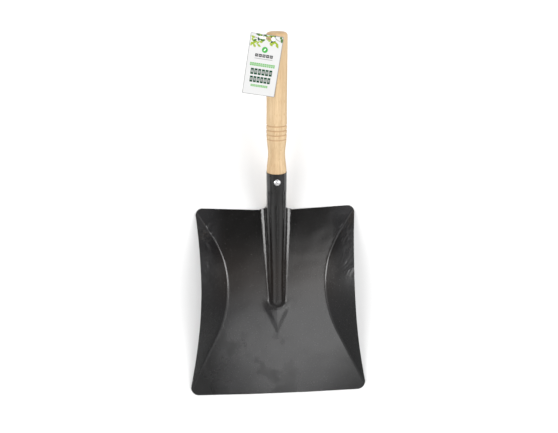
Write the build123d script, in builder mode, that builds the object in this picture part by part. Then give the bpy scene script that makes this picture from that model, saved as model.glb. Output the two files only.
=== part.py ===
"""Square-mouth hand shovel: one pressed steel sheet for pan and socket, a turned wooden handle,
a blind rivet, and a card hang tag on a nylon pin.

Frame: +Z up, +Y from the pan towards the handle, +X to the right. The origin is the bottom
centre of the bounding box, so the flat pan lies on Z = 0. Units are millimetres and degrees.
"""

import math
import os

from build123d import *

# --- Overall ------------------------------------------------------------------------------------
overall_length = 450.0
sheet = 1.2  # thickness of the steel
handle_tilt = 17.0  # rise of the handle's axis above the pan

# --- Pan outline, seen from above ---------------------------------------------------------------
pan_length = 237.7  # front edge to the foot of the socket, on the centre line
front_half_width, front_side_angle = 114.8, 12.0
waist_half_width = 95.7
rear_half_width, rear_side_angle = 102.3, 7.0
front_bow = 1.6  # how far the front edge bulges at its middle
rear_sweep = 4.0  # how far the rear corners stand behind the foot of the socket
front_corner_radius, rear_corner_radius = 10.0, 8.0

# --- Folded sides -------------------------------------------------------------------------------
fold_angle = 43.0
fold_radius = 4.0  # inside the fold
crease_half_width = 62.5  # where the two creases come closest
crease_from_front = 141.5  # that place, from the front edge
crease_front_radius, crease_front_angle = 144.0, 26.6
crease_rear_radius, crease_rear_angle = 120.0, 31.5
crease_straight = 110.0  # straight ends, long enough to run past the outline
floor_overlap = 6.0  # flat strip that each folded side shares with the floor
side_reach = 75.0  # untrimmed width of a side

# --- Ridge that stiffens the pan and runs into the socket ---------------------------------------
nose_from_front = 109.0  # front edge to the foot of the ridge's nose
nose_height, nose_top_radius, nose_slope, nose_fillet = 8.0, 9.0, 50.0, 4.0
root_slope, root_fillet = 90.0, 9.0  # the ridge's section where it becomes the socket
keel_length, keel_half_width, keel_height = 25.0, 16.5, 1.8  # low point ahead of the nose
keel_back = 20.0  # how far the keel runs back under the ridge
keel_sink = 0.2  # its edges start this far inside the sheet

# --- Socket -------------------------------------------------------------------------------------
socket_root_radius, socket_rim_radius = 12.3, 12.6  # outside
socket_axis_height = 20.5  # above the ground, at the foot of the socket
root_offset = 10.0  # foot of the socket to the start of the full tube
rim_offset = 48.2  # foot of the socket to the centre of the rim, along Y
neck_half_width = 22.0  # straight middle of the pan's rear edge
shoulder_length = 8.5  # foot of the socket to the top of the shoulders' cut
shoulder_rise = 1.5  # top of that cut above the socket's axis
shoulder_half_width = 21.7  # of that cut, so that it leaves the rest of the pan's rear edge alone
seam_gap = 3.0  # between the rolled edges, underneath
seam_open_length = 22.0  # over this length the seam opens up towards the pan

# --- Handle -------------------------------------------------------------------------------------
end_radius, end_round = 12.6, 4.0
grip_radius, collar_radius, waist_radius, shoulder_radius = 12.4, 12.1, 10.4, 12.2
waist_from_rim, collar_from_rim, grip_from_rim = 23.5, 41.5, 60.0
tail_length, tail_radius = 70.0, 8.0  # the tapered end inside the socket
fit_gap = 0.05  # between the tail and the socket
groove_count, groove_first, groove_pitch = 4, 42.3, 5.6
groove_depth, groove_radius = 0.6, 1.6

# --- Rivet --------------------------------------------------------------------------------------
rivet_from_rim = 10.1
rivet_head_radius, rivet_head_height, rivet_rim_height = 4.0, 1.5, 0.4
rivet_radius, rivet_bore, rivet_depth = 2.0, 1.15, 11.0
mandrel_radius, mandrel_head_radius, mandrel_head_length = 1.15, 1.9, 2.5
mandrel_recess = 0.4  # how far the snapped stub stands below the head's top

# --- Hang tag and its pin -----------------------------------------------------------------------
tag_width, tag_length, tag_thickness, tag_corner = 38.0, 70.0, 0.6, 0.8
tag_turn = 9.0  # how far the tag is swung from the handle's axis
slot_width, slot_height, slot_from_top = 18.0, 3.0, 4.0
pin_from_end, pin_side = 6.5, -5.0  # the pin stands a little left of the handle's top line
pin_radius, pin_head_radius, pin_head_height = 0.9, 2.4, 0.9
pin_depth = 10.0
gap = 0.4  # clearance above and below the tag

# --- Worked out from the above ------------------------------------------------------------------
front_y = -overall_length / 2
foot_y = front_y + pan_length
crease_y = front_y + crease_from_front
nose_foot_y = front_y + nose_from_front
cos_tilt = math.cos(math.radians(handle_tilt))
sin_tilt = math.sin(math.radians(handle_tilt))
along = Vector(0, cos_tilt, sin_tilt)  # up the handle's axis
upward = Vector(0, -sin_tilt, cos_tilt)  # square to it
foot = Vector(0, foot_y, socket_axis_height)
root = foot + along * (root_offset / cos_tilt)
rim = foot + along * (rim_offset / cos_tilt)
round_centre_y = overall_length / 2 - end_round - (end_radius - end_round) * sin_tilt
handle_length = (round_centre_y - rim.Y) / cos_tilt + end_round
handle_end = rim + along * handle_length
socket_length = (rim_offset - root_offset) / cos_tilt  # root to rim
rivet_taper = (socket_rim_radius - socket_root_radius) * rivet_from_rim / socket_length
rivet_seat = rim - along * rivet_from_rim + upward * (socket_rim_radius - rivet_taper)
pin_seat = handle_end - along * pin_from_end + upward * end_radius + Vector(pin_side, 0, 0)


def across_axis(centre):
    """A plane square to the handle's axis; its local Y points upward."""
    return Plane(origin=centre, x_dir=(1, 0, 0), z_dir=-along)


def beside_axis(centre):
    """The plane that halves the shovel; its local X runs along the axis, its local Y upward."""
    return Plane(origin=centre, x_dir=along, z_dir=(1, 0, 0))


# --- Pieces of the pan's outline ----------------------------------------------------------------


def crease_line(inset):
    """Draws the right crease from front to rear, moved this far towards the centre line."""
    front, rear = math.radians(crease_front_angle), math.radians(crease_rear_angle)
    front_reach, rear_reach = crease_front_radius + inset, crease_rear_radius + inset
    front_centre_x = crease_half_width + crease_front_radius
    rear_centre_x = crease_half_width + crease_rear_radius
    front_tangent = Vector(
        front_centre_x - front_reach * math.cos(front), crease_y - front_reach * math.sin(front)
    )
    rear_tangent = Vector(
        rear_centre_x - rear_reach * math.cos(rear), crease_y + rear_reach * math.sin(rear)
    )
    front_end = front_tangent + Vector(math.sin(front), -math.cos(front)) * crease_straight
    rear_end = rear_tangent + Vector(math.sin(rear), math.cos(rear)) * crease_straight
    closest = Vector(crease_half_width - inset, crease_y)
    Line(front_end, front_tangent)
    TangentArc(front_tangent, closest, tangent=front_tangent - front_end)
    TangentArc(closest, rear_tangent, tangent=(0, 1))
    Line(rear_tangent, rear_end)
    return front_end, rear_end


def fold_section():
    """Draws the sheet across a crease: a strip of floor, the fold, and the side beyond it."""
    turn = math.radians(fold_angle)
    start = -fold_radius * math.tan(turn / 2)
    centre = Vector(start, sheet + fold_radius)
    outer_radius = fold_radius + sheet
    reach = Vector(math.cos(turn), math.sin(turn)) * side_reach
    square = Vector(math.sin(turn), -math.cos(turn))
    middle = Vector(math.sin(turn / 2), -math.cos(turn / 2))
    inner_end, outer_end = centre + square * fold_radius, centre + square * outer_radius
    Line((-floor_overlap, sheet), (start, sheet))
    ThreePointArc((start, sheet), centre + middle * fold_radius, inner_end)
    Polyline(inner_end, inner_end + reach, outer_end + reach, outer_end)
    ThreePointArc(outer_end, centre + middle * outer_radius, (start, 0))
    Polyline((start, 0), (-floor_overlap, 0), (-floor_overlap, sheet))


# --- Sections of the ridge ----------------------------------------------------------------------


def hat_points(height, top_radius, slope, foot_radius, inset):
    """Right half of a ridge section, from its top to its base at the floor's top.

    inset moves the line inwards by that much: the sheet's thickness gives its underside.
    """
    turn = math.radians(slope)
    straight = height - (top_radius + foot_radius) * (1 - math.cos(turn))
    half_width = (top_radius + foot_radius) * math.sin(turn) + straight / math.tan(turn)
    top_centre, foot_centre = Vector(0, height - top_radius), Vector(half_width, foot_radius)
    points = []
    for angle in (0, turn / 2, turn):
        points.append(top_centre + Vector(math.sin(angle), math.cos(angle)) * (top_radius - inset))
    for angle in (turn, turn / 2, 0):
        points.append(foot_centre - Vector(math.sin(angle), math.cos(angle)) * (foot_radius + inset))
    return points


def half_hat(plane, points, side, below):
    """One half of the section, closed down to this far below the floor's top."""
    top, top_mid, side_top, side_foot, foot_mid, base = [Vector(p.X * side, p.Y) for p in points]
    with BuildSketch(plane) as section:
        with BuildLine():
            ThreePointArc(top, top_mid, side_top)
            Line(side_top, side_foot)
            ThreePointArc(side_foot, foot_mid, base)
            Polyline(base, (base.X, -below), (0, -below), top)
        make_face()
    return section.sketch.face()


def ridge(inset, below, mode):
    """The ridge, filled down to this far below the floor's top."""
    nose_points = hat_points(nose_height, nose_top_radius, nose_slope, nose_fillet, inset)
    root_points = hat_points(root_height, socket_root_radius, root_slope, root_fillet, inset)
    for side in (1, -1):
        root_face = half_hat(root_plane, root_points, side, below / cos_tilt)
        nose_face = half_hat(nose_plane, nose_points, side, below)
        loft([root_face, nose_face], ruled=True, mode=mode)
    nose_face = half_hat(nose_plane, nose_points, 1, below)
    nose_axis = Axis((0, nose_y, 0), (0, 0, 1))
    revolve(nose_face, axis=nose_axis, revolution_arc=-180, mode=mode)


nose_base = hat_points(nose_height, nose_top_radius, nose_slope, nose_fillet, 0)[-1]
nose_y = nose_foot_y + nose_base.X  # centre of the rounded nose
nose_plane = Plane(origin=(0, nose_y, sheet), x_dir=(1, 0, 0), z_dir=(0, -1, 0))
floor_to_axis = (root.Z - sheet) / cos_tilt  # at the root, square to the axis
root_height = floor_to_axis + socket_root_radius
root_plane = across_axis(root - upward * floor_to_axis)


def keel(drop, mode):
    """The low point ahead of the nose, lowered by this much."""
    base = sheet - keel_sink - drop
    section_plane = Plane(origin=(0, nose_foot_y, base), x_dir=(1, 0, 0), z_dir=(0, -1, 0))
    with BuildSketch(section_plane) as section:
        with BuildLine():
            height = keel_height + keel_sink
            Polyline((-keel_half_width, 0), (0, height), (keel_half_width, 0), close=True)
        make_face()
    for end_y in (nose_foot_y - keel_length, nose_foot_y + keel_back):
        loft([section.sketch.face(), Vertex(0, end_y, base)], mode=mode)


# --- Pan and socket: one sheet ------------------------------------------------------------------
with BuildPart() as pan:
    # Floor between the creases.
    with BuildSketch():
        with BuildLine():
            front_end, rear_end = crease_line(inset=floor_overlap / 2)
            mirror(about=Plane.YZ)
            Line(front_end, (-front_end.X, front_end.Y))
            Line(rear_end, (-rear_end.X, rear_end.Y))
        make_face()
    extrude(amount=sheet)

    # Sides, folded up along the creases.
    with BuildLine() as crease:
        crease_line(inset=0)
    start, ahead = crease.wire() @ 0, crease.wire() % 0
    with BuildSketch(Plane(origin=start, x_dir=(ahead.Y, -ahead.X), z_dir=-ahead)):
        with BuildLine():
            fold_section()
        make_face()
    sweep(path=crease.wire())
    mirror(about=Plane.YZ)

    # Trim to the outline.
    with BuildSketch(Plane.XY.offset(-sheet)) as outline:
        with BuildLine():
            front_corner = Vector(front_half_width, front_y + front_bow)
            rear_corner = Vector(rear_half_width, foot_y + rear_sweep)
            front_lean, rear_lean = math.radians(front_side_angle), math.radians(rear_side_angle)
            front_way = (-math.sin(front_lean), math.cos(front_lean))
            rear_way = (math.sin(rear_lean), math.cos(rear_lean))
            waist = Vector(waist_half_width, crease_y)
            Spline(front_corner, waist, rear_corner, tangents=[front_way, rear_way])
            Polyline(rear_corner, (neck_half_width, foot_y), (0, foot_y))
            mirror(about=Plane.YZ)
            ThreePointArc((-front_corner.X, front_corner.Y), (0, front_y), front_corner)
        make_face()
        front_corners = outline.vertices().sort_by(Axis.Y)[:2]
        fillet(front_corners, front_corner_radius)
        rear_corners = outline.vertices().filter_by(lambda v: abs(abs(v.X) - rear_half_width) < 0.01)
        fillet(rear_corners, rear_corner_radius)
    extrude(amount=100, mode=Mode.INTERSECT)

    # Ridge, then the shoulders cut round from the pan's rear edge up to the socket.
    ridge(0, sheet, Mode.ADD)
    keel(0, Mode.ADD)
    with BuildSketch(Plane.YZ):
        with BuildLine():
            notch_top = (foot_y + shoulder_length, root.Z + shoulder_rise)
            notch_back = foot_y + 3 * shoulder_length
            reach_back = notch_back - notch_top[0]
            TangentArc(notch_top, (foot_y, 0), tangent=(0, -1))
            Polyline(
                notch_top,
                (notch_back, notch_top[1] + reach_back * sin_tilt / cos_tilt),
                (notch_back, -sheet),
                (foot_y, -sheet),
                (foot_y, 0),
            )
        make_face()
    extrude(amount=shoulder_half_width, both=True, mode=Mode.SUBTRACT)

    # Socket, solid for now.
    with BuildSketch(across_axis(root)):
        Circle(socket_root_radius)
    with BuildSketch(across_axis(rim)):
        Circle(socket_rim_radius)
    loft()

    # Hollow out everything under the sheet.
    ridge(sheet, 2 * sheet, Mode.SUBTRACT)
    with BuildSketch(across_axis(root)):
        Circle(socket_root_radius - sheet)
    with BuildSketch(across_axis(rim)):
        Circle(socket_rim_radius - sheet)
    loft(mode=Mode.SUBTRACT)
    keel(sheet, Mode.SUBTRACT)

    # Seam underneath, opening towards the pan.
    with BuildSketch(Plane(origin=root, x_dir=along, z_dir=-upward)):
        with BuildLine():
            wide = socket_rim_radius + sheet
            Polyline(
                (-sheet, 0),
                (-sheet, wide),
                (0, wide),
                (seam_open_length, seam_gap / 2),
                (2 * rim_offset, seam_gap / 2),
                (2 * rim_offset, 0),
            )
            mirror(about=Plane.XZ)
        make_face()
    extrude(amount=2 * socket_rim_radius, mode=Mode.SUBTRACT)

    # Rivet hole through the top of the socket.
    with BuildSketch(Plane(origin=rim - along * rivet_from_rim, z_dir=upward)):
        Circle(rivet_radius)
    extrude(amount=2 * socket_rim_radius, mode=Mode.SUBTRACT)

# --- Handle -------------------------------------------------------------------------------------
with BuildPart() as handle:
    with BuildSketch(beside_axis(rim)):
        with BuildLine():
            tail_fit = socket_rim_radius - sheet - fit_gap
            root_fit = socket_root_radius - sheet - fit_gap
            body_end = handle_length - end_round
            Polyline(
                (handle_length, end_radius - end_round),
                (handle_length, 0),
                (-tail_length, 0),
                (-tail_length, tail_radius),
                (-socket_length, root_fit),
                (0, tail_fit),
                (0, shoulder_radius),
            )
            Spline(
                (0, shoulder_radius),
                (waist_from_rim, waist_radius),
                (collar_from_rim, collar_radius),
                (grip_from_rim, grip_radius),
                (body_end, end_radius),
                tangents=[(1, 0), (1, 0)],
            )
            RadiusArc((body_end, end_radius), (handle_length, end_radius - end_round), end_round)
        make_face()
        # Turned grooves, cut into the outline.
        for number in range(groove_count):
            place = groove_first + number * groove_pitch
            with Locations((place, grip_radius + groove_radius - groove_depth)):
                Circle(groove_radius, mode=Mode.SUBTRACT)
    revolve(axis=Axis(rim, along))

    # Holes for the rivet and for the tag's pin.
    with BuildSketch(Plane(origin=rivet_seat, z_dir=-upward)):
        Circle(rivet_radius)
    extrude(amount=rivet_depth + mandrel_head_length + sheet, mode=Mode.SUBTRACT)
    with BuildSketch(Plane(origin=pin_seat, z_dir=-upward)):
        Circle(pin_radius)
    extrude(amount=pin_depth, mode=Mode.SUBTRACT)

# --- Rivet --------------------------------------------------------------------------------------
with BuildPart() as rivet_body:
    with BuildSketch(beside_axis(rivet_seat)):
        with BuildLine():
            crown = (rivet_bore, rivet_head_height)
            rim_top = (rivet_head_radius, rivet_rim_height)
            Polyline(crown, (rivet_bore, -sheet), (rivet_head_radius, -sheet), rim_top)
            TangentArc(rim_top, crown, tangent=(-1, 1))
        make_face()
    revolve(axis=Axis(rivet_seat, upward))

    # Seat the head on the socket, then add the shank.
    with BuildSketch(across_axis(root)):
        Circle(socket_root_radius)
    with BuildSketch(across_axis(rim)):
        Circle(socket_rim_radius)
    loft(mode=Mode.SUBTRACT)
    with BuildSketch(Plane(origin=rivet_seat + upward * rivet_rim_height, z_dir=-upward)):
        Circle(rivet_radius)
        Circle(rivet_bore, mode=Mode.SUBTRACT)
    extrude(amount=rivet_depth + rivet_rim_height)

with BuildPart() as rivet_mandrel:
    stub_height = rivet_head_height - mandrel_recess
    with BuildSketch(Plane(origin=rivet_seat + upward * stub_height, z_dir=-upward)):
        Circle(mandrel_radius)
    extrude(amount=rivet_depth + stub_height)
    with BuildSketch(Plane(origin=rivet_seat - upward * rivet_depth, z_dir=-upward)):
        Circle(mandrel_head_radius)
    extrude(amount=mandrel_head_length)

# --- Hang tag and pin ---------------------------------------------------------------------------
with BuildPart() as hang_tag:
    turn = math.radians(tag_turn)
    tag_right = Vector(math.cos(turn), 0, 0) - along * math.sin(turn)
    with BuildSketch(Plane(origin=pin_seat + upward * gap, x_dir=tag_right, z_dir=upward)):
        pin_to_middle = (slot_width - slot_height) / 2
        with Locations((-pin_to_middle, slot_from_top - tag_length / 2)):
            RectangleRounded(tag_width, tag_length, tag_corner)
        with Locations((-pin_to_middle, 0)):
            SlotOverall(slot_width, slot_height, mode=Mode.SUBTRACT)
    extrude(amount=tag_thickness)

with BuildPart() as tag_pin:
    head_base = pin_seat + upward * (2 * gap + tag_thickness)
    with BuildSketch(Plane(origin=head_base, z_dir=-upward)):
        Circle(pin_radius)
    extrude(amount=pin_depth + 2 * gap + tag_thickness)
    with BuildSketch(Plane(origin=head_base, z_dir=upward)):
        Circle(pin_head_radius)
    extrude(amount=pin_head_height)
    fillet(tag_pin.faces().sort_by(Axis(head_base, upward))[-1].edges(), pin_head_height / 2)

# --- Export -------------------------------------------------------------------------------------
pan.part.label = "pan_with_socket"
handle.part.label = "handle"
rivet_body.part.label = "rivet_body"
rivet_mandrel.part.label = "rivet_mandrel"
hang_tag.part.label = "hang_tag"
tag_pin.part.label = "tag_pin"

os.makedirs("parts", exist_ok=True)
export_step(pan.part, "parts/pan_with_socket.step")
export_step(handle.part, "parts/handle.step")
export_step(rivet_body.part, "parts/rivet_body.step")
export_step(rivet_mandrel.part, "parts/rivet_mandrel.step")
export_step(hang_tag.part, "parts/hang_tag.step")
export_step(tag_pin.part, "parts/tag_pin.step")
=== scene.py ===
"""Square-mouth hand shovel on a pale floor: black enamel pan, beech handle, rivet, hanging card.

Lengths are metres. The frame is the part's own: +Y towards the handle, +Z up, floor at Z = 0.
"""

import math
import random

import bpy
from mathutils import Matrix, Vector


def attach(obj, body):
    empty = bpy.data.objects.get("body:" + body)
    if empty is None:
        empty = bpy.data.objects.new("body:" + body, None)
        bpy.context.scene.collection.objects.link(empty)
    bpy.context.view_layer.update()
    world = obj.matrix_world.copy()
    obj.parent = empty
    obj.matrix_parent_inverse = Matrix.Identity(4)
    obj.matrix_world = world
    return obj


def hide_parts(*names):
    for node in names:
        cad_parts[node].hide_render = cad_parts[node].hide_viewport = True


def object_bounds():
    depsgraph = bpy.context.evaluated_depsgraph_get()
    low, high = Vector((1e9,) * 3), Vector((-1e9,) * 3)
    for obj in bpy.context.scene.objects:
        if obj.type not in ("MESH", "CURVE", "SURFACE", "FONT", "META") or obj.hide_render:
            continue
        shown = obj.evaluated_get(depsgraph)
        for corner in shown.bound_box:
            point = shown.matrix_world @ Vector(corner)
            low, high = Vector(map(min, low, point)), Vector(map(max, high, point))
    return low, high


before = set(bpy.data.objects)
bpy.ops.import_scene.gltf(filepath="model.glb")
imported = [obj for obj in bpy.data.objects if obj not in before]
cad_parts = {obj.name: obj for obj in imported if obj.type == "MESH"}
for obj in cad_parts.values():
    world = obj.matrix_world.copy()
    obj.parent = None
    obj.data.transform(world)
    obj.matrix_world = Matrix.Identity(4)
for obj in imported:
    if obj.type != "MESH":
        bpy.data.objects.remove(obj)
cad_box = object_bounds()
scene = bpy.context.scene

MM = 0.001

# The handle's axis, as in the part: it starts at the socket's rim and rises from the pan.
TILT = math.radians(17.0)
ALONG = Vector((0, math.cos(TILT), math.sin(TILT)))
UPWARD = Vector((0, -math.sin(TILT), math.cos(TILT)))
RIM = Vector((0, 60.9, 35.236)) * MM

# Places along the handle are measured from the rim. Groove sizes are in millimetres.
HANDLE_LENGTH = 168.786 * MM
HANDLE_END_RADIUS = 12.6 * MM
FIRST_GROOVE, GROOVE_PITCH, GROOVE_ROUND, GROOVE_BOTTOM = 42.3, 5.6, 1.6, 11.8
GROOVES = [(FIRST_GROOVE + GROOVE_PITCH * number) * MM for number in range(4)]
RIVET_SEAT = RIM - ALONG * 10.1 * MM + UPWARD * 12.52 * MM

# The card's pin stands near the handle's end, a little left of its highest line.
PIN_SEAT = RIM + ALONG * (HANDLE_LENGTH - 6.5 * MM) + UPWARD * HANDLE_END_RADIUS
PIN_SEAT.x = -5 * MM
TAG_WIDTH, TAG_LENGTH, TAG_THICKNESS = 38 * MM, 70 * MM, 0.6 * MM
TAG_TURN = math.radians(9.0)
TAG_ABOVE_SEAT = 0.4 * MM
SLOT_LENGTH, SLOT_WIDTH, SLOT_FROM_TOP = 18 * MM, 3 * MM, 4 * MM
PIN_FROM_SLOT_MIDDLE = 7.5 * MM

# Where the pan's ridge ends, and the low point ahead of it begins.
RIDGE_NOSE = -116 * MM


# --- Shader helpers ------------------------------------------------------------------------------


class Value:
    """A number or colour that varies over a surface. Arithmetic on it adds Math nodes."""

    def __init__(self, maker, socket):
        self.maker, self.socket = maker, socket

    def __add__(self, other):
        return self.maker.maths("ADD", self, other)

    def __sub__(self, other):
        return self.maker.maths("SUBTRACT", self, other)

    def __rsub__(self, other):
        return self.maker.maths("SUBTRACT", other, self)

    def __mul__(self, other):
        return self.maker.maths("MULTIPLY", self, other)

    def __abs__(self):
        return self.maker.maths("ABSOLUTE", self)

    __radd__ = __add__
    __rmul__ = __mul__


class Nodes:
    """The nodes of one material, or of the room round the object."""

    def __init__(self, tree):
        self.tree = tree

    def node(self, kind, settings=None, inputs=None, output=0):
        """Adds a node: settings first, then the values or links of its sockets."""
        made = self.tree.nodes.new(kind)
        for key, value in (settings or {}).items():
            if key == "stops":
                self.set_stops(made.color_ramp.elements, value)
            else:
                setattr(made, key, value)
        for key, value in (inputs or {}).items():
            if isinstance(value, Value):
                self.tree.links.new(value.socket, made.inputs[key])
            else:
                made.inputs[key].default_value = value
        return Value(self, made.outputs[output])

    def set_stops(self, elements, stops):
        """Gives a ramp these (place, colour) stops, lowest first, in place of its own two."""
        elements.remove(elements[-1])
        elements[0].position = stops[0][0]
        elements[0].color = (*stops[0][1], 1)
        for place, colour in stops[1:]:
            elements.new(place).color = (*colour, 1)

    def part(self, vector, axis):
        """One coordinate of a vector: 0, 1 or 2."""
        return self.node("ShaderNodeSeparateXYZ", {}, {"Vector": vector}, output=axis)


class Finish(Nodes):
    """One material, with its shader."""

    def __init__(self, name, **constants):
        self.material = bpy.data.materials.new(name)
        self.material.use_nodes = True
        super().__init__(self.material.node_tree)
        self.shader = self.tree.nodes["Principled BSDF"]
        for socket, value in constants.items():
            self.shader.inputs[socket.replace("_", " ")].default_value = value

    def maths(self, operation, *values):
        return self.node("ShaderNodeMath", {"operation": operation}, dict(enumerate(values)))

    def rise(self, value, start, end):
        """0 below start, 1 above end, and smooth between. start may be the larger of the two."""
        settings = {"interpolation_type": "SMOOTHSTEP"}
        inputs = {"Value": value, "From Min": start, "From Max": end}
        return self.node("ShaderNodeMapRange", settings, inputs)

    def mix(self, factor, first, second):
        """Colour that goes from first to second."""
        first = first if isinstance(first, Value) else (*first, 1)
        second = second if isinstance(second, Value) else (*second, 1)
        inputs = {0: factor, 6: first, 7: second}
        return self.node("ShaderNodeMix", {"data_type": "RGBA"}, inputs, output=2)

    def place(self, location=(0, 0, 0), rotation=(0, 0, 0), scale=(1, 1, 1)):
        """Object coordinates, centred at location, turned, and multiplied by scale."""
        coordinates = self.node("ShaderNodeTexCoord", output=3)
        centred = self.node(
            "ShaderNodeMapping",
            {"vector_type": "TEXTURE"},
            {"Vector": coordinates, "Location": location, "Rotation": rotation},
        )
        return self.node("ShaderNodeMapping", {}, {"Vector": centred, "Scale": scale})

    def noise(self, vector, scale, detail=2.0, roughness=0.5, distortion=0.0):
        inputs = {"Vector": vector, "Scale": scale, "Detail": detail}
        inputs.update({"Roughness": roughness, "Distortion": distortion})
        return self.node("ShaderNodeTexNoise", {}, inputs)

    def set(self, socket, value):
        self.tree.links.new(value.socket, self.shader.inputs[socket])

    def bump(self, height, distance, under=None):
        """Surface relief of this depth. `under` is relief that it lies on."""
        inputs = {"Height": height, "Distance": distance, "Strength": 1.0}
        if under:
            inputs["Normal"] = under
        return self.node("ShaderNodeBump", {}, inputs)


# --- Camera and light ----------------------------------------------------------------------------


def set_camera():
    """Nearly straight above the pan, a little to its left."""
    data = bpy.data.cameras.new("camera")
    data.sensor_width = 36.0
    data.lens = 50.62
    camera = bpy.data.objects.new("camera", data)
    camera.location = (-0.0689, 0.0636, 0.9986)
    camera.rotation_mode = "ZYX"
    camera.rotation_euler = (math.radians(-3.43), math.radians(-4.20), math.radians(-1.36))
    scene.collection.objects.link(camera)
    scene.camera = camera


def softbox(name, place, aim, width, height, power):
    """A rectangular lamp at `place` that faces `aim`."""
    data = bpy.data.lights.new(name, "AREA")
    data.shape = "RECTANGLE"
    data.size, data.size_y, data.energy = width, height, power
    lamp = bpy.data.objects.new(name, data)
    lamp.location = place
    lamp.rotation_euler = (Vector(aim) - Vector(place)).to_track_quat("-Z", "Y").to_euler()
    scene.collection.objects.link(lamp)


def set_light():
    """Lamps high at both sides and at the rear, one over the pan's front, and a room that is
    pale at mid height, dimmer at the horizon and dark overhead."""
    softbox("front_softbox", (0.22, -0.40, 1.35), (0.05, -0.15, 0), 0.55, 0.30, 2.0)
    softbox("left_softbox", (-1.0, -0.08, 1.0), (0, 0, 0), 0.40, 1.2, 12)
    softbox("right_softbox", (1.0, -0.08, 1.0), (0, 0, 0), 0.40, 1.2, 12)
    softbox("rear_softbox", (0.0, 1.3, 0.9), (0, 0, 0), 1.2, 0.4, 6)
    world = bpy.data.worlds.new("grey_room")
    world.use_nodes = True
    room = Nodes(world.node_tree)
    height = room.part(room.node("ShaderNodeTexCoord", output=0), 2)
    greys = ((0.0, 0.24), (0.22, 0.44), (0.42, 0.95), (0.70, 0.90), (0.97, 0.05))
    stops = [(sine_of_height, (grey, grey, grey)) for sine_of_height, grey in greys]
    colour = room.node("ShaderNodeValToRGB", {"stops": stops}, {"Fac": height})
    background = world.node_tree.nodes["Background"]
    room.tree.links.new(colour.socket, background.inputs["Color"])
    background.inputs["Strength"].default_value = 1.0
    scene.world = world
    scene.view_settings.view_transform = "Standard"


# --- Finishes ------------------------------------------------------------------------------------


def black_enamel():
    """Semi-gloss black on pressed steel: dents, wrinkled sides, orange peel, specks and a smudged
    front corner. Painted light and shade: darker sides, a darker rear of the floor, a lighter
    brownish middle of the floor and lighter rear ends of the sides."""
    paint = Finish("black_enamel", Specular_IOR_Level=0.5, Coat_Roughness=0.12)
    position = paint.place()
    across, lengthways = paint.part(position, 0), paint.part(position, 1)

    blotch = paint.noise(paint.place(location=(0.03, 0.02, 0)), 24.0, 3.0, 0.55, 0.2)
    front_left = paint.rise(lengthways, -0.125, -0.155) * paint.rise(across, 0.05, -0.01)
    smudge = paint.rise(blotch, 0.50, 0.64) * front_left
    haze = paint.noise(position, 9.0, 3.0, 0.55, 0.3)
    rear = paint.rise(lengthways, -0.10, 0.0)
    middle = paint.rise(lengthways, -0.13, -0.06) * paint.rise(lengthways, 0.02, -0.05)
    floor = paint.rise(abs(across), 0.095, 0.060)
    speck = paint.rise(paint.noise(position, 700.0, 1.0), 0.70, 0.76)

    # Painted shade: the sides get a darker black than the floor.
    colour = paint.mix(floor, (0.0030, 0.0030, 0.0032), (0.0072, 0.0070, 0.0078))
    # Painted light: the middle of the floor is made lighter, with a brownish tint.
    colour = paint.mix(middle * floor, colour, (0.0120, 0.0082, 0.0062))
    # Painted shade: the rear of the floor is made darker.
    colour = paint.mix(rear * floor, colour, (0.0026, 0.0023, 0.0021))
    # Painted reflection: the rear of each side is made lighter.
    wing_rear_highlight = paint.rise(lengthways, -0.12, -0.04) * (1.0 - floor)
    colour = paint.mix(wing_rear_highlight, colour, (0.0160, 0.0156, 0.0165))
    colour = paint.mix(smudge * 0.7, colour, (0.0030, 0.0030, 0.0032))
    colour = paint.mix(speck * 0.30, colour, (0.060, 0.056, 0.052))
    paint.set("Base Color", colour)
    paint.set("Roughness", 0.23 + haze * 0.07 + smudge * 0.05 + speck * 0.08 - rear * 0.06)
    paint.set("Coat Weight", 0.25 - smudge * 0.15)

    side = paint.rise(abs(across), 0.072, 0.088)
    wrinkle_space = paint.place(rotation=(0, 0, 0.35), scale=(0.55, 1.0, 1.0))
    rear_half = paint.rise(lengthways, -0.10, -0.05) * paint.rise(lengthways, 0.005, -0.01)
    wrinkles = paint.noise(wrinkle_space, 60.0, 2.0, 0.5, 1.2) * side * rear_half
    dents = paint.bump(paint.noise(position, 15.0, 2.0, 0.45, 0.2), 0.0010)
    dents = paint.bump(wrinkles, 0.0012, dents)
    ahead = RIDGE_NOSE - lengthways
    keel_edge = abs(across) - (0.0125 - ahead * 0.46)
    keel = paint.rise(keel_edge, 0.0038, -0.0036) * paint.rise(ahead, -0.016, 0.004)
    dents = paint.bump(keel, 0.0006, dents)
    paint.set("Normal", paint.bump(paint.noise(position, 620.0, 2.0), 0.00003, dents))
    return paint.material


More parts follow.
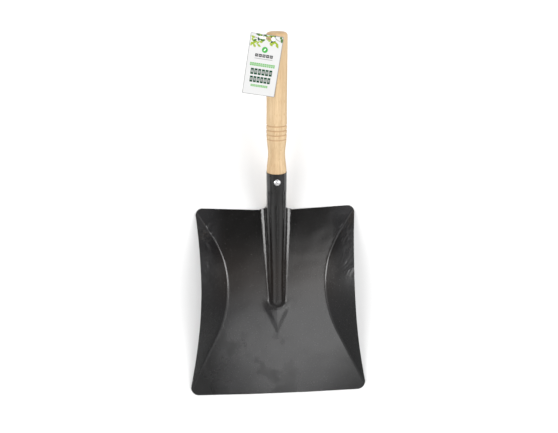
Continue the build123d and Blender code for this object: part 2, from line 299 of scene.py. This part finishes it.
def beech():
    """Pale sanded beech: long grain, short dark flecks, darker end grain at the tip,
    and painted shade in the grooves.
    """
    wood = Finish("beech", Roughness=0.56, Specular_IOR_Level=0.35)
    on_axis = {"location": tuple(RIM), "rotation": (TILT, 0, 0)}
    position = wood.place(**on_axis)
    long_grain = wood.place(**on_axis, scale=(1, 0.035, 1))
    fleck_space = wood.place(**on_axis, scale=(1, 0.16, 1))
    along_axis = wood.part(position, 1)

    bands = wood.noise(long_grain, 170.0, 3.0, 0.55, 0.35)
    fibres = wood.noise(long_grain, 1500.0, 3.0, 0.6)
    clouds = wood.noise(wood.place(**on_axis, scale=(1, 0.4, 1)), 45.0, 2.0)
    flecks = wood.rise(wood.noise(fleck_space, 1150.0, 1.0, 0.4), 0.60, 0.70)
    fleck_patches = wood.rise(wood.noise(long_grain, 260.0, 1.0), 0.42, 0.60)

    colour = wood.mix(wood.rise(bands, 0.35, 0.66), (0.600, 0.435, 0.250), (0.430, 0.280, 0.140))
    colour = wood.mix(clouds * 0.45, colour, (0.680, 0.530, 0.350))
    colour = wood.mix(wood.rise(fibres, 0.45, 0.75) * 0.45, colour, (0.360, 0.215, 0.100))
    colour = wood.mix(flecks * fleck_patches * 0.55, colour, (0.400, 0.225, 0.100))
    # Painted shade: darker inside the grooves, from the first to the last.
    from_groove = wood.maths("PINGPONG", along_axis - GROOVES[0], GROOVE_PITCH * MM / 2)
    first_side = wood.rise(along_axis, GROOVES[0] - 2.2 * MM, GROOVES[0] - 1.9 * MM)
    last_side = wood.rise(along_axis, GROOVES[-1] + 2.2 * MM, GROOVES[-1] + 1.9 * MM)
    groove_shade = wood.rise(from_groove, 1.0 * MM, 0.3 * MM) * first_side * last_side
    colour = wood.mix(groove_shade * 0.60, colour, (0.330, 0.180, 0.080))
    tip = wood.rise(along_axis, HANDLE_LENGTH - 3.2 * MM, HANDLE_LENGTH - 1.4 * MM)
    colour = wood.mix(tip * 0.55, colour, (0.520, 0.330, 0.165))
    wood.set("Base Color", colour)
    wood.set("Roughness", 0.50 + fibres * 0.14 + flecks * 0.08)
    relief = wood.bump(fibres, 0.00012)
    wood.set("Normal", wood.bump(1.0 - flecks, 0.00006, relief))
    return wood.material


def bright_steel():
    """Bright plated rivet with fine scratches and a little tarnish."""
    steel = Finish("rivet_steel", Metallic=1.0, Roughness=0.25)
    position = steel.place()
    tarnish = steel.noise(position, 420.0, 3.0, 0.6)
    scratches = steel.noise(steel.place(scale=(1, 6, 1)), 1600.0, 2.0, 0.7)
    dulled = steel.rise(tarnish, 0.4, 0.8)
    steel.set("Base Color", steel.mix(dulled, (0.78, 0.78, 0.79), (0.46, 0.45, 0.44)))
    steel.set("Roughness", 0.20 + tarnish * 0.18)
    steel.set("Normal", steel.bump(scratches, 0.00002))
    return steel.material


def milky_nylon():
    """Translucent white nylon with a faint mould texture."""
    depth = (1.5 * MM, 1.5 * MM, 1.5 * MM)
    nylon = Finish("clear_nylon", Roughness=0.38, Subsurface_Weight=0.35, Subsurface_Radius=depth)
    position = nylon.place()
    cloud = nylon.noise(position, 800.0, 2.0)
    nylon.set("Base Color", nylon.mix(cloud, (0.80, 0.82, 0.83), (0.90, 0.91, 0.92)))
    nylon.set("Normal", nylon.bump(nylon.noise(position, 2400.0, 1.0), 0.00001))
    return nylon.material


class Print:
    """Ink masks on the card, in millimetres from its top left corner, across and down."""

    BLUR = 0.16  # half the width over which an edge fades

    def __init__(self, card):
        self.card = card
        uv = card.node("ShaderNodeTexCoord", output=2)
        self.across = card.part(uv, 0) * (TAG_WIDTH / MM)
        self.down = (1.0 - card.part(uv, 1)) * (TAG_LENGTH / MM)

    def within(self, distance, limit):
        """1 where distance is under limit."""
        return self.card.rise(distance, limit + self.BLUR, limit - self.BLUR)

    def bar(self, middle, down, half_width, half_height):
        sideways = self.within(abs(self.across - middle), half_width)
        return sideways * self.within(abs(self.down - down), half_height)

    def blocks(self, middle, down, half_width, half_height, pitch):
        """A row of plain notched blocks, which stands for a line of print and spells nothing."""
        step = self.card.maths("PINGPONG", self.across - (middle - half_width), pitch / 2)
        row = self.bar(middle, down, half_width, half_height)
        solid = self.card.rise(step, pitch * 0.05, pitch * 0.13)
        notch = self.within(abs(step - pitch * 0.36), pitch * 0.06)
        notch = notch * self.within(abs(self.down - down), half_height * 0.45)
        return row * solid * (1.0 - notch)

    def disc(self, across, down, radius):
        sideways, downwards = self.across - across, self.down - down
        squared = sideways * sideways + downwards * downwards
        return self.within(self.card.maths("SQRT", squared), radius)

    def leaf(self, across, down, turn, half_length, half_width):
        """A pointed leaf, turned by this angle."""
        sideways, downwards = self.across - across, self.down - down
        lengthways = sideways * math.cos(turn) + downwards * math.sin(turn)
        crossways = abs(downwards * math.cos(turn) - sideways * math.sin(turn))
        edge = lengthways * lengthways * (half_width / half_length**2)
        return self.within(crossways + edge, half_width)


def tag_front():
    """White card with three sprays of leaves above, a green disc, and rows of plain blocks."""
    card = Finish("tag_card", Specular_IOR_Level=0.06)
    ink = Print(card)
    dark, mid, light = (0.002, 0.045, 0.018), (0.055, 0.150, 0.012), (0.270, 0.370, 0.020)
    pale_green = (0.100, 0.360, 0.070)
    colour = card.mix(card.noise(card.place(), 60.0), (0.580, 0.580, 0.578), (0.600, 0.600, 0.598))
    chance = random.Random(11)
    # Each spray: its middle across, how far it spreads, how far down it hangs, number of leaves.
    sprays = ((7.5, 8.0, 14.5, 20), (30.5, 6.5, 11.5, 14), (19.0, 5.0, 6.0, 8))
    for middle, spread, reach, count in sprays:
        twig = ink.leaf(middle, reach * 0.35, chance.uniform(0.1, 0.5), spread, 0.3)
        colour = card.mix(twig * 0.85, colour, (0.090, 0.070, 0.030))
        for number in range(count):
            across = middle + chance.uniform(-spread, spread)
            down = reach * (number + 0.5) / count
            lean, length = chance.uniform(0.2, 2.9), chance.uniform(2.0, 3.1)
            leaf = ink.leaf(across, down, lean, length, length * chance.uniform(0.42, 0.60))
            ink_colour = light if down > 0.62 * reach else (dark, mid, light, mid)[number % 4]
            colour = card.mix(leaf * 0.95, colour, ink_colour)
    colour = card.mix(ink.disc(18.8, 17.4, 3.4), colour, (0.060, 0.340, 0.065))
    colour = card.mix(ink.leaf(18.8, 17.4, 2.2, 1.9, 0.7), colour, (0.80, 0.93, 0.80))
    colour = card.mix(ink.bar(18.8, 28.0, 10.4, 0.35) * 0.6, colour, (0.060, 0.065, 0.062))
    # Each row of blocks: its middle across and down, half its width and height, its pitch, its ink.
    rows = (
        (18.8, 24.4, 10.6, 1.7, 4.24, (0.012, 0.014, 0.013)),
        (18.6, 35.0, 14.6, 1.8, 2.43, pale_green),
        (18.6, 43.2, 12.9, 3.5, 4.30, dark),
        (18.3, 52.2, 12.3, 3.5, 4.10, dark),
        (18.3, 59.4, 10.0, 1.3, 2.00, pale_green),
    )
    for *row, row_ink in rows:
        colour = card.mix(ink.blocks(*row), colour, row_ink)
    # Painted shade: a thin dark band round the card's edge.
    half_width, half_length, edge_shade_width = TAG_WIDTH / MM / 2, TAG_LENGTH / MM / 2, 0.55
    inside_edge_shade = ink.bar(half_width, half_length, half_width - edge_shade_width, half_length - edge_shade_width)
    colour = card.mix((1.0 - inside_edge_shade) * 0.85, colour, (0.150, 0.158, 0.170))
    card.set("Base Color", colour)
    card.set("Roughness", 0.32 + card.noise(card.place(), 300.0) * 0.12)
    card.set("Normal", card.bump(card.noise(card.place(), 1800.0, 2.0), 0.000008))
    return card.material


def tag_back():
    """The card's unprinted side and its cut edge."""
    card = Finish("tag_board", Roughness=0.62)
    fibres = card.noise(card.place(), 900.0, 3.0, 0.6)
    card.set("Base Color", card.mix(fibres, (0.78, 0.77, 0.75), (0.88, 0.88, 0.87)))
    card.set("Normal", card.bump(fibres, 0.00002))
    return card.material


def pale_floor():
    floor = Finish("pale_floor", Roughness=0.8, Specular_IOR_Level=0.1)
    grain = floor.noise(floor.place(), 120.0, 3.0)
    floor.set("Base Color", floor.mix(grain, (0.780, 0.780, 0.780), (0.790, 0.790, 0.790)))
    return floor.material


# --- Modelling helpers ---------------------------------------------------------------------------


def start(name):
    """Names the object that has just been added, which is the active one, and gives it back."""
    piece = bpy.context.object
    piece.name = piece.data.name = name
    return piece


def clear_selection():
    if bpy.context.object and bpy.context.object.mode != "OBJECT":
        bpy.ops.object.mode_set(mode="OBJECT")
    bpy.ops.object.select_all(action="DESELECT")


def apply_modifier(piece, kind, **settings):
    made = piece.modifiers.new(kind.lower(), kind)
    for key, value in settings.items():
        setattr(made, key, value)
    bpy.ops.object.modifier_apply(modifier=made.name)


def settle(piece, matrix):
    """Puts the piece in place, and its place in its mesh."""
    piece.matrix_world = matrix
    bpy.ops.object.transform_apply(location=True, rotation=True, scale=True)


def turned(name, outline, sides):
    """A closed turned piece about local Z, from (height, radius) rings, lowest first."""
    clear_selection()
    (height, radius), *rings = outline
    bpy.ops.mesh.primitive_circle_add(
        vertices=sides, radius=radius, fill_type="NGON", location=(0, 0, height)
    )
    piece = start(name)
    bpy.ops.object.transform_apply(location=True)
    bpy.ops.object.mode_set(mode="EDIT")
    bpy.ops.mesh.select_all(action="SELECT")
    for next_height, next_radius in rings:
        bpy.ops.mesh.extrude_region_move(
            TRANSFORM_OT_translate={"value": (0, 0, next_height - height)}
        )
        factor = next_radius / radius
        bpy.ops.transform.resize(value=(factor, factor, 1), center_override=(0, 0, next_height))
        height, radius = next_height, next_radius
    bpy.ops.mesh.select_all(action="SELECT")
    bpy.ops.mesh.normals_make_consistent(inside=False)
    bpy.ops.object.mode_set(mode="OBJECT")
    bpy.ops.object.shade_smooth_by_angle(angle=math.radians(40))
    return piece


def axis_matrix(origin, upwards, sideways=Vector((1, 0, 0))):
    """Local Z becomes `upwards`, local X becomes `sideways`."""
    turn = Matrix((sideways, upwards.cross(sideways), upwards)).transposed().to_4x4()
    return Matrix.Translation(origin) @ turn


def dress(piece, material, slot, body, *nodes):
    """Material, body and the CAD nodes that the piece stands for. slot is not used."""
    if not piece.data.materials:
        piece.data.materials.append(material)
    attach(piece, body)
    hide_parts(*nodes)


# --- Pieces --------------------------------------------------------------------------------------


def make_pan(paint):
    """The pressed sheet, with its cut edges eased as paint leaves them."""
    clear_selection()
    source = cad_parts["pan_with_socket"]
    piece = source.copy()
    piece.data = source.data.copy()
    piece.parent = None
    piece.matrix_world = source.matrix_world
    scene.collection.objects.link(piece)
    bpy.context.view_layer.objects.active = piece
    piece.select_set(True)
    start("pan_pressing")
    piece.data.materials.clear()
    bpy.ops.object.mode_set(mode="EDIT")
    bpy.ops.mesh.select_all(action="SELECT")
    bpy.ops.mesh.remove_doubles(threshold=0.02 * MM)
    bpy.ops.mesh.customdata_custom_splitnormals_clear()
    bpy.ops.mesh.dissolve_limited(angle_limit=math.radians(0.5))
    bpy.ops.object.mode_set(mode="OBJECT")
    apply_modifier(
        piece, "BEVEL", width=0.4 * MM, segments=2, limit_method="ANGLE",
        angle_limit=math.radians(50), use_clamp_overlap=True,
    )
    cut_into_grid(4 * MM)
    soften_keel(piece)
    apply_modifier(piece, "WEIGHTED_NORMAL", mode="FACE_AREA", weight=50, keep_sharp=False)
    dress(piece, paint, "black_enamel", "shovel", "pan_with_socket")


def cut_into_grid(step):
    """Cuts the selected piece's faces along X and Y, so that low relief is shaded where it lies."""
    low, high = cad_box
    bpy.ops.object.mode_set(mode="EDIT")
    for direction in (0, 1):
        normal = (1, 0, 0) if direction == 0 else (0, 1, 0)
        last = high[0] if direction == 0 else RIM.y - 20 * MM
        place = low[direction] + step
        while place < last:
            bpy.ops.mesh.select_all(action="SELECT")
            point = tuple(place * share for share in normal)
            bpy.ops.mesh.bisect(plane_co=point, plane_no=normal)
            place += step
    bpy.ops.object.mode_set(mode="OBJECT")


def soften_keel(piece):
    """Rounds the low point ahead of the ridge's nose, which pressing leaves without sharp edges."""
    for vertex in piece.data.vertices:
        spot = vertex.co
        near = -152 * MM < spot.y < -98 * MM and abs(spot.x) < 30 * MM
        vertex.select = near and spot.z < 3.1 * MM
    bpy.ops.object.mode_set(mode="EDIT")
    bpy.ops.mesh.select_mode(type="VERT")
    bpy.ops.mesh.vertices_smooth(factor=0.5, repeat=14, xaxis=False, yaxis=False)
    bpy.ops.object.mode_set(mode="OBJECT")


def swell(place):
    """The handle's radius in millimetres at a place: a smooth line through its stations."""
    stations = [(0.0, 12.2), (23.5, 10.4), (41.5, 12.0), (52.0, 12.48), (80.0, 12.2), (165.0, 12.6)]
    slopes = [0.0]
    for (back, low), (ahead, high) in zip(stations, stations[2:]):
        slopes.append((high - low) / (ahead - back))
    slopes.append(0.0)
    for number, ((start_at, low), (end_at, high)) in enumerate(zip(stations, stations[1:])):
        if place <= end_at:
            span = end_at - start_at
            share = (place - start_at) / span
            ease_out = (1 + 2 * share) * (1 - share) ** 2 * low
            ease_in = share * share * (3 - 2 * share) * high
            leaving = share * (1 - share) ** 2 * span * slopes[number]
            arriving = share * share * (share - 1) * span * slopes[number + 1]
            return ease_out + ease_in + leaving + arriving
    return stations[-1][1]


def handle_outline():
    """Rings of the handle from the tail's end to the tip, in metres from the rim."""
    rings = [(-70.0, 6.5), (-69.4, 7.6), (-68.0, 8.1), (-39.2, 11.05), (-0.01, 11.35), (0.0, 11.8)]
    rings.append((0.4, 12.15))
    place = 2.0
    while place < 164.0:
        nearest = min(abs(place - groove / MM) for groove in GROOVES)
        radius = swell(place)
        if nearest < GROOVE_ROUND:
            rise = math.sqrt(GROOVE_ROUND**2 - nearest**2)
            radius = min(radius, GROOVE_BOTTOM + GROOVE_ROUND - rise)
        rings.append((place, radius))
        place += 0.2 if nearest < 2.0 else 1.0
    tip_round = 4.0
    tip_start, tip_radius = HANDLE_LENGTH / MM - tip_round, HANDLE_END_RADIUS / MM - tip_round
    for step in range(9):
        turn = math.pi / 2 * step / 8
        rings.append((tip_start + tip_round * math.sin(turn), tip_radius + tip_round * math.cos(turn)))
    rings.append((HANDLE_LENGTH / MM, 4.0))
    return [(h * MM, r * MM) for h, r in rings]


def make_handle(wood):
    piece = turned("turned_handle", handle_outline(), 96)
    settle(piece, axis_matrix(RIM, ALONG))
    dress(piece, wood, "beech", "shovel", "handle")


def make_rivet(steel):
    """Domed head with a dimple round the mandrel's snapped stub."""
    head = [(-11.0, 2.0), (-0.9, 2.0), (-0.8, 3.9), (0.2, 4.0), (0.45, 3.95), (0.8, 3.6), (1.15, 2.9)]
    head += [(1.38, 2.2), (1.48, 1.75), (1.5, 1.5), (1.45, 1.28), (1.2, 1.18), (0.6, 1.15)]
    piece = turned("rivet_dome", [(h * MM, r * MM) for h, r in head], 64)
    settle(piece, axis_matrix(RIVET_SEAT, UPWARD))
    dress(piece, steel, "rivet_steel", "shovel", "rivet_body")
    stub = [(-13.5, 1.6), (-13.3, 1.9), (-11.2, 1.9), (-11.0, 1.14), (0.9, 1.14), (1.08, 1.0), (1.14, 0.6)]
    piece = turned("mandrel_stub", [(h * MM, r * MM) for h, r in stub], 48)
    settle(piece, axis_matrix(RIVET_SEAT, UPWARD))
    dress(piece, steel, "rivet_steel", "shovel", "rivet_mandrel")


def make_tag(front, back):
    """The card with eased corners and its hanging slot; its pin stands at the slot's right end."""
    clear_selection()
    bpy.ops.mesh.primitive_cube_add(size=1)
    slot_cutter = start("slot_cutter")
    settle(slot_cutter, Matrix.Diagonal((SLOT_LENGTH, SLOT_WIDTH, 6 * MM, 1)))
    round_upright_edges(slot_cutter, SLOT_WIDTH / 2 - 0.01 * MM, 8)
    clear_selection()
    bpy.ops.mesh.primitive_cube_add(size=1)
    piece = start("card")
    settle(piece, Matrix.Diagonal((TAG_WIDTH, TAG_LENGTH, TAG_THICKNESS, 1)))
    round_upright_edges(piece, 0.8 * MM, 4)
    to_slot = TAG_LENGTH / 2 - SLOT_FROM_TOP
    slot_cutter.location = (0, to_slot, 0)
    bpy.context.view_layer.update()
    apply_modifier(piece, "BOOLEAN", operation="DIFFERENCE", solver="EXACT", object=slot_cutter)
    bpy.data.objects.remove(slot_cutter)
    layer = piece.data.uv_layers.active or piece.data.uv_layers.new(name="UVMap")
    for loop in piece.data.loops:
        spot = piece.data.vertices[loop.vertex_index].co
        layer.data[loop.index].uv = (spot.x / TAG_WIDTH + 0.5, spot.y / TAG_LENGTH + 0.5)
    piece.data.materials.append(front)
    piece.data.materials.append(back)
    for face in piece.data.polygons:
        face.material_index = 0 if face.normal.z > 0.5 else 1
    sideways = Vector((1, 0, 0)) * math.cos(TAG_TURN) - ALONG * math.sin(TAG_TURN)
    pin_in_card = PIN_SEAT + UPWARD * (TAG_ABOVE_SEAT + TAG_THICKNESS / 2)
    hang = axis_matrix(pin_in_card, UPWARD, sideways)
    settle(piece, hang @ Matrix.Translation((-PIN_FROM_SLOT_MIDDLE, -to_slot, 0)))
    dress(piece, front, "tag_card", "tag", "hang_tag")


def round_upright_edges(piece, radius, segments):
    bpy.ops.object.mode_set(mode="EDIT")
    bpy.ops.mesh.select_all(action="DESELECT")
    bpy.ops.object.mode_set(mode="OBJECT")
    for edge in piece.data.edges:
        low, high = (piece.data.vertices[index].co for index in edge.vertices)
        edge.select = abs(low.z - high.z) > 0.1 * MM
    bpy.ops.object.mode_set(mode="EDIT")
    bpy.ops.mesh.select_mode(type="EDGE")
    bpy.ops.mesh.bevel(offset=radius, segments=segments)
    bpy.ops.object.mode_set(mode="OBJECT")


def make_tag_pin(nylon):
    pin = [(-10.0, 0.7), (-9.8, 0.9), (1.35, 0.9), (1.4, 2.3), (1.5, 2.4), (1.85, 2.4), (2.1, 2.25)]
    pin += [(2.25, 1.8), (2.3, 1.0)]
    piece = turned("nylon_pin", [(h * MM, r * MM) for h, r in pin], 48)
    settle(piece, axis_matrix(PIN_SEAT, UPWARD))
    dress(piece, nylon, "clear_nylon", "shovel", "tag_pin")


def make_floor(material):
    """A wide plane, just low enough not to share the underside of the pan."""
    clear_selection()
    bpy.ops.mesh.primitive_plane_add(size=8, location=(0, 0, -0.2 * MM))
    floor = start("floor")
    floor.data.materials.append(material)


set_camera()
set_light()
make_pan(black_enamel())
make_handle(beech())
make_rivet(bright_steel())
make_tag(tag_front(), tag_back())
make_tag_pin(milky_nylon())
make_floor(pale_floor())
